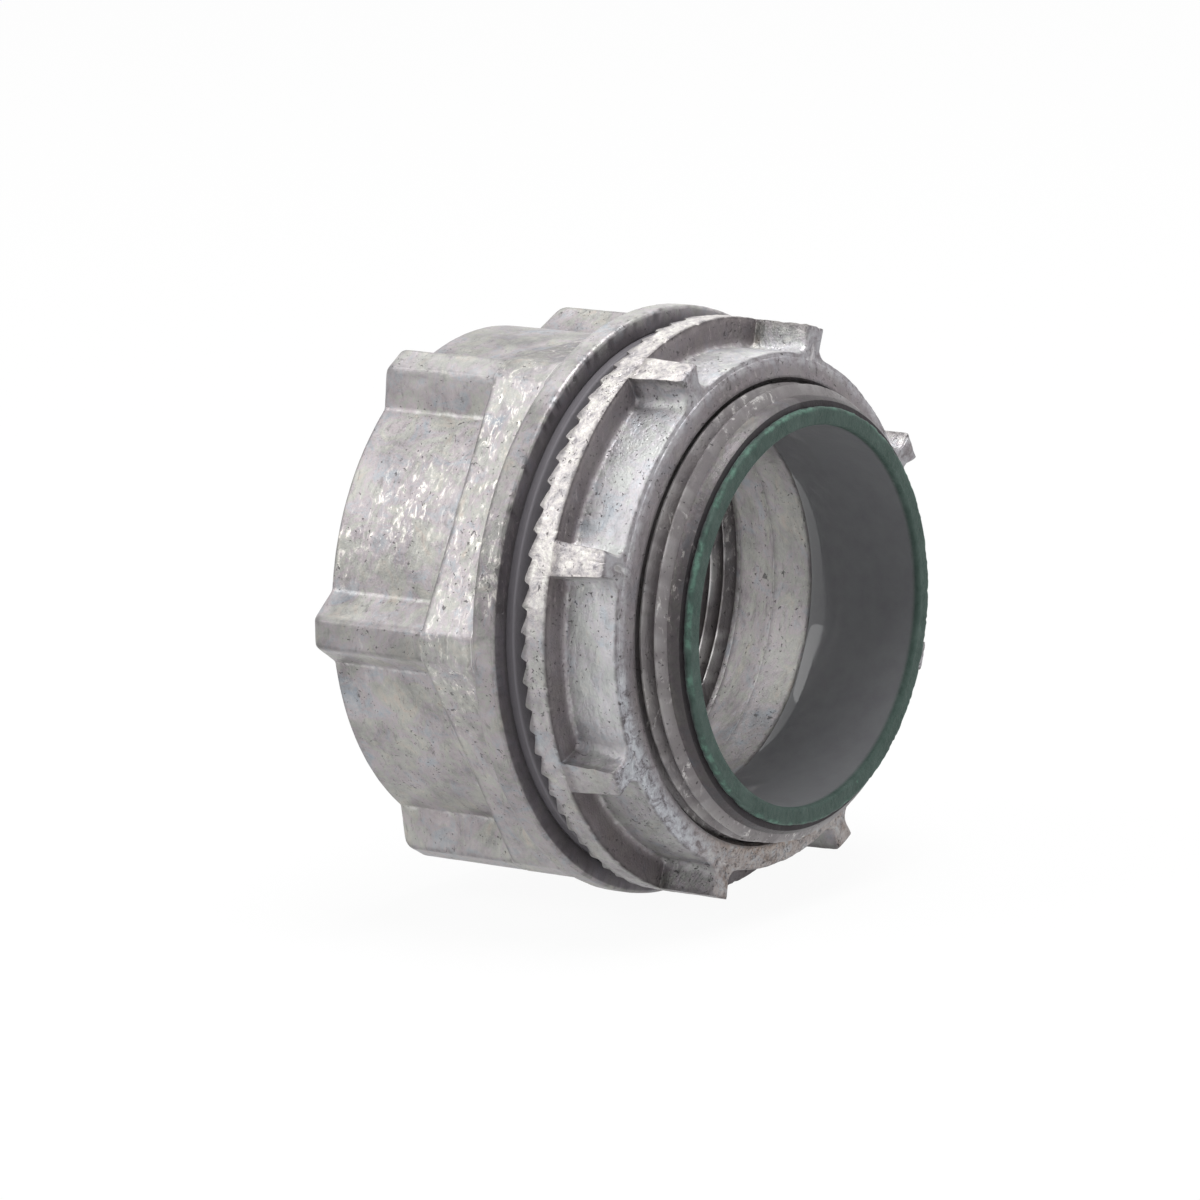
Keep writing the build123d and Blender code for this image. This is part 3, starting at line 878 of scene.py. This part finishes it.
def zincMaterial(name, s):
    mat, tree, bsdf, coord = newMaterial(name)
    film = useGroup(tree, filmGroup, coord)
    grain = useGroup(tree, grainGroup, coord, Coarse=s["coarse"])
    pits = useGroup(tree, pitGroup, coord, Amount=s["pits"])
    wearGlint = useGroup(tree, wearGlintGroup, coord)
    tree.links.new(painted(tree, "busy", s["flecks"]), film.inputs["Flecks"])
    skin, fleck, cloud = (film.outputs[k] for k in ("Color", "Fleck", "Cloud"))

    # painted light, and rubbed metal
    paintedLight = calc(tree, "MULTIPLY", painted(tree, "paintedLight"), spread(tree, cloud, 0.3, 0.6, 0.65, 1.0))
    under = blend(tree, 0.55, s["litTone"], times(tree, skin, (1.7, 1.7, 1.7)))
    under = blend(tree, calc(tree, "MULTIPLY", fleck, 0.7), under, skin)
    col = blend(tree, calc(tree, "MULTIPLY", paintedLight, s["paintedLight"]), times(tree, skin, s["tone"]), under)
    col = blend(tree, painted(tree, "rubbed", s["rub"]), col, film.outputs["Speckle"])

    # front faces darker as painted shade, on the nut partly a duller finish; then stain, worn edges with a
    # painted highlight, darker corners and pits, and painted shade
    notLit = calc(tree, "SUBTRACT", 1.0, calc(tree, "MULTIPLY", paintedLight, 0.6))
    front = calc(tree, "MULTIPLY", facingFront(tree, *s["facing"]), notLit)
    dim = blend(tree, 0.6, col, s["frontShadeTone"])
    dim = blend(tree, spread(tree, cloud, 0.38, 0.62), dim, times(tree, dim, (0.78, 0.76, 0.76)))
    col = blend(tree, front, col, times(tree, dim, s["front"]))
    if s["rust"]:
        col = stained(tree, coord, col, s)
    col = blend(tree, calc(tree, "MULTIPLY", wearGlint.outputs["WornGlint"], s["edge"]), col, s["bright"])
    col = blend(tree, calc(tree, "MULTIPLY", wearGlint.outputs["Corner"], s["cornerDark"]), col, s["cornerPitTone"])
    col = blend(tree, calc(tree, "MULTIPLY", pits.outputs["Mask"], 0.8), col, s["cornerPitTone"])
    besideFlecks = spread(tree, fleck, 0.1, 0.7, 1.0, 0.45)
    deep = calc(tree, "MULTIPLY", painted(tree, "shade", s["shade"]), besideFlecks)
    col = blend(tree, deep, col, times(tree, col, s["deepTone"]))
    tree.links.new(col, bsdf.inputs["Base Color"])

    rough = calc(tree, "ADD", calc(tree, "MULTIPLY", film.outputs["Dull"], s["dull"]), s["rough"])
    rough = calc(tree, "SUBTRACT", rough, calc(tree, "MULTIPLY", fleck, 0.1))
    tree.links.new(calc(tree, "ADD", rough, calc(tree, "MULTIPLY", front, 0.15)), bsdf.inputs["Roughness"])
    metal = calc(tree, "SUBTRACT", s["metal"], calc(tree, "MULTIPLY", pits.outputs["Mask"], 0.4), True)
    tree.links.new(metal, bsdf.inputs["Metallic"])
    normal = bump(tree, grain.outputs["Height"], s["grainDeep"])
    tree.links.new(bump(tree, pits.outputs["Height"], s["pitDeep"], normal), bsdf.inputs["Normal"])
    return mat


# what both castings' zinc shares, then the hub's and the locknut's own, depths in metres
zinc = {"cornerDark": 0.6, "dull": 0.18, "rough": 0.34, "metal": 0.55, "shade": 0.95}
hubZinc = zincMaterial("hubZinc", {
    **zinc, "coarse": 0.8, "pits": 0.02, "flecks": 1.25, "tone": (1.12, 1.10, 1.09), "rub": 0.0, "rust": 0,
    "paintedLight": 0.55, "litTone": (0.56, 0.55, 0.54), "deepTone": (0.28, 0.26, 0.27), "facing": (0.88, 0.99),
    "front": (0.64, 0.61, 0.65), "frontShadeTone": (0.36, 0.35, 0.36), "edge": 0.7, "bright": (0.70, 0.69, 0.68),
    "cornerPitTone": (0.10, 0.095, 0.098), "grainDeep": 0.00018, "pitDeep": 0.00010})
nutZinc = zincMaterial("nutZinc", {
    **zinc, "coarse": 0.7, "pits": 0.15, "flecks": 0.9, "tone": (1.05, 1.05, 1.06), "rub": 0.85, "rust": 0.9,
    "paintedLight": 0.85, "litTone": (0.68, 0.70, 0.72), "deepTone": (0.42, 0.40, 0.40), "facing": (0.4, 0.9),
    "front": (0.97, 0.92, 0.935), "frontShadeTone": (0.41, 0.40, 0.41), "edge": 0.6, "bright": (0.74, 0.73, 0.74),
    "cornerPitTone": (0.10, 0.092, 0.095), "grainDeep": 0.00030, "pitDeep": 0.00022, "crack": (0.05, 0.042, 0.042),
    "stains": [(0.34, (0.13, 0.10, 0.09)), (0.41, (0.33, 0.26, 0.21)), (0.52, (0.45, 0.37, 0.32)),
               (0.60, (0.41, 0.40, 0.40)), (0.68, (0.55, 0.53, 0.51))],
    "chalks": [(0.38, (0.11, 0.10, 0.11)), (0.47, (0.37, 0.37, 0.40)), (0.55, (0.52, 0.54, 0.58)),
               (0.66, (0.66, 0.70, 0.72))]})

# the liner's plastic: dark smooth bore, glossy towards its inner end, green lip whose ragged flash is painted
# brighter as a painted highlight
plastic = {"boreTones": [(0.3, (0.150, 0.150, 0.160)), (0.75, (0.170, 0.176, 0.180))],
           "lipTones": [(0.3, (0.045, 0.074, 0.063)), (0.75, (0.085, 0.122, 0.108))],
           "flashGlint": (0.15, 0.30, 0.23), "lipFrom": (0.0213, 0.0221), "coatFrom": (0.0115, 0.0105),
           "coat": 0.85, "coatRough": 0.04, "specular": 0.12, "grainDeep": 0.00025}


def plasticMaterial(s):
    mat, tree, bsdf, coord = newMaterial("linerPlastic")
    place = add(tree, "ShaderNodeSeparateXYZ")
    tree.links.new(coord, place.inputs[0])
    lip = spread(tree, place.outputs["X"], *s["lipFrom"])
    blot = noiseOf(tree, coord, 420, 5, 0.6)
    col = blend(tree, lip, colours(tree, blot, s["boreTones"]), colours(tree, blot, s["lipTones"]))
    wearGlint = useGroup(tree, wearGlintGroup, coord)
    # painted highlight along the lip's worn edge and flash
    shine = calc(tree, "MAXIMUM", wearGlint.outputs["WornGlint"], painted(tree, "flashGlint", 0.5))
    broken = spread(tree, noiseOf(tree, coord, 900, 5, 0.7), 0.40, 0.58, 0.15, 1.0)
    shine = calc(tree, "MULTIPLY", calc(tree, "MULTIPLY", shine, broken), lip)
    col = blend(tree, shine, col, s["flashGlint"])
    tree.links.new(col, bsdf.inputs["Base Color"])
    rough = calc(tree, "ADD", spread(tree, blot, 0.3, 0.7, 0.30, 0.42), calc(tree, "MULTIPLY", lip, 0.1))
    tree.links.new(rough, bsdf.inputs["Roughness"])
    bsdf.inputs["Specular IOR Level"].default_value = s["specular"]
    bsdf.inputs["Coat Roughness"].default_value = s["coatRough"]
    coat = spread(tree, place.outputs["X"], *s["coatFrom"], 0.0, s["coat"])
    tree.links.new(coat, bsdf.inputs["Coat Weight"])
    height = calc(tree, "MULTIPLY", noiseOf(tree, coord, 1100, 5, 0.65), calc(tree, "ADD", lip, 0.12))
    tree.links.new(bump(tree, height, s["grainDeep"]), bsdf.inputs["Normal"])
    return mat


# matt black rubber, coloured dark grey rather than black and its front face lighter still: painted light in
# the shaded gap
rubber = {"tones": [(0.3, (0.120, 0.112, 0.125)), (0.75, (0.150, 0.140, 0.155))], "paintedFrontLight": (0.29, 0.275, 0.30),
          "grainDeep": 0.00005}


def rubberMaterial(s):
    mat, tree, bsdf, coord = newMaterial("sealRubber")
    blot = noiseOf(tree, coord, 500, 5, 0.6)
    frontLit = blend(tree, facingFront(tree, 0.5, 0.95), colours(tree, blot, s["tones"]), s["paintedFrontLight"])
    tree.links.new(frontLit, bsdf.inputs["Base Color"])
    tree.links.new(spread(tree, blot, 0.3, 0.7, 0.6, 0.85), bsdf.inputs["Roughness"])
    tree.links.new(bump(tree, noiseOf(tree, coord, 2600, 4, 0.6), s["grainDeep"]), bsdf.inputs["Normal"])
    return mat


linerPlastic, sealRubber = plasticMaterial(plastic), rubberMaterial(rubber)
for obj, mat in ((casting, hubZinc), (neckThread, hubZinc), (socketThread, hubZinc), (nutCasting, nutZinc),
                 (nutThread, nutZinc), (linerTube, linerPlastic), (sealRing, sealRubber)):
    obj.data.materials.append(mat)
print("materials made")

# pale floor, white behind, and the light: sizes in metres, lamps in watts
floorSet = {"half": 3.0, "height": -38.95 * mm, "grey": 0.85, "glow": 0.94}
worldLevel = 0.43
lampSet = {"softLeft": {"place": (-0.75, -0.75, 0.75), "size": 1.0, "watts": 5.5},
           "softAbove": {"place": (0.15, 0.1, 1.2), "size": 0.8, "watts": 13.5}}


def whiteBehind(tree):
    # 1 for what the camera, a reflection or clear glass sees, 0 for the light that falls on the piece
    path = add(tree, "ShaderNodeLightPath")
    seen = calc(tree, "ADD", path.outputs["Is Camera Ray"], path.outputs["Is Glossy Ray"])
    return calc(tree, "ADD", seen, path.outputs["Is Transmission Ray"], True)


def makeFloor(s):
    me = bpy.data.meshes.new("paleFloor")
    h, z = s["half"], s["height"]
    me.from_pydata([(-h, -h, z), (h, -h, z), (h, h, z), (-h, h, z)], [], [(0, 1, 2, 3)])
    floor = bpy.data.objects.new("paleFloor", me)
    bpy.context.scene.collection.objects.link(floor)
    mat = bpy.data.materials.new("paleFloor")
    mat.use_nodes = True
    tree = mat.node_tree
    tree.nodes.remove(tree.nodes["Principled BSDF"])
    matt = add(tree, "ShaderNodeBsdfDiffuse")
    matt.inputs["Color"].default_value = (s["grey"], s["grey"], s["grey"], 1)
    glow = add(tree, "ShaderNodeEmission")
    mix = add(tree, "ShaderNodeMixShader")
    tree.links.new(calc(tree, "MULTIPLY", whiteBehind(tree), s["glow"]), mix.inputs[0])
    tree.links.new(matt.outputs[0], mix.inputs[1])
    tree.links.new(glow.outputs[0], mix.inputs[2])
    tree.links.new(mix.outputs[0], tree.nodes["Material Output"].inputs["Surface"])
    floor.data.materials.append(mat)


def makeWorld(level):
    world = bpy.data.worlds.new("studio")
    bpy.context.scene.world = world
    world.use_nodes = True
    tree = world.node_tree
    back = tree.nodes["Background"]
    back.inputs["Color"].default_value = (1, 1, 1, 1)
    node = add(tree, "ShaderNodeMapRange")
    tree.links.new(whiteBehind(tree), node.inputs["Value"])
    node.inputs["To Min"].default_value = level
    node.inputs["To Max"].default_value = 1.0
    tree.links.new(node.outputs["Result"], back.inputs["Strength"])


def makeLamp(name, s):
    data = bpy.data.lights.new(name, "AREA")
    data.shape = "DISK"
    data.size = s["size"]
    data.energy = s["watts"]
    obj = bpy.data.objects.new(name, data)
    bpy.context.scene.collection.objects.link(obj)
    obj.location = s["place"]
    obj.rotation_euler = (-Vector(s["place"])).to_track_quat("-Z", "Y").to_euler()   # aimed at the origin


makeFloor(floorSet)
makeWorld(worldLevel)
for name, s in lampSet.items():
    makeLamp(name, s)
print("floor and lamps set")
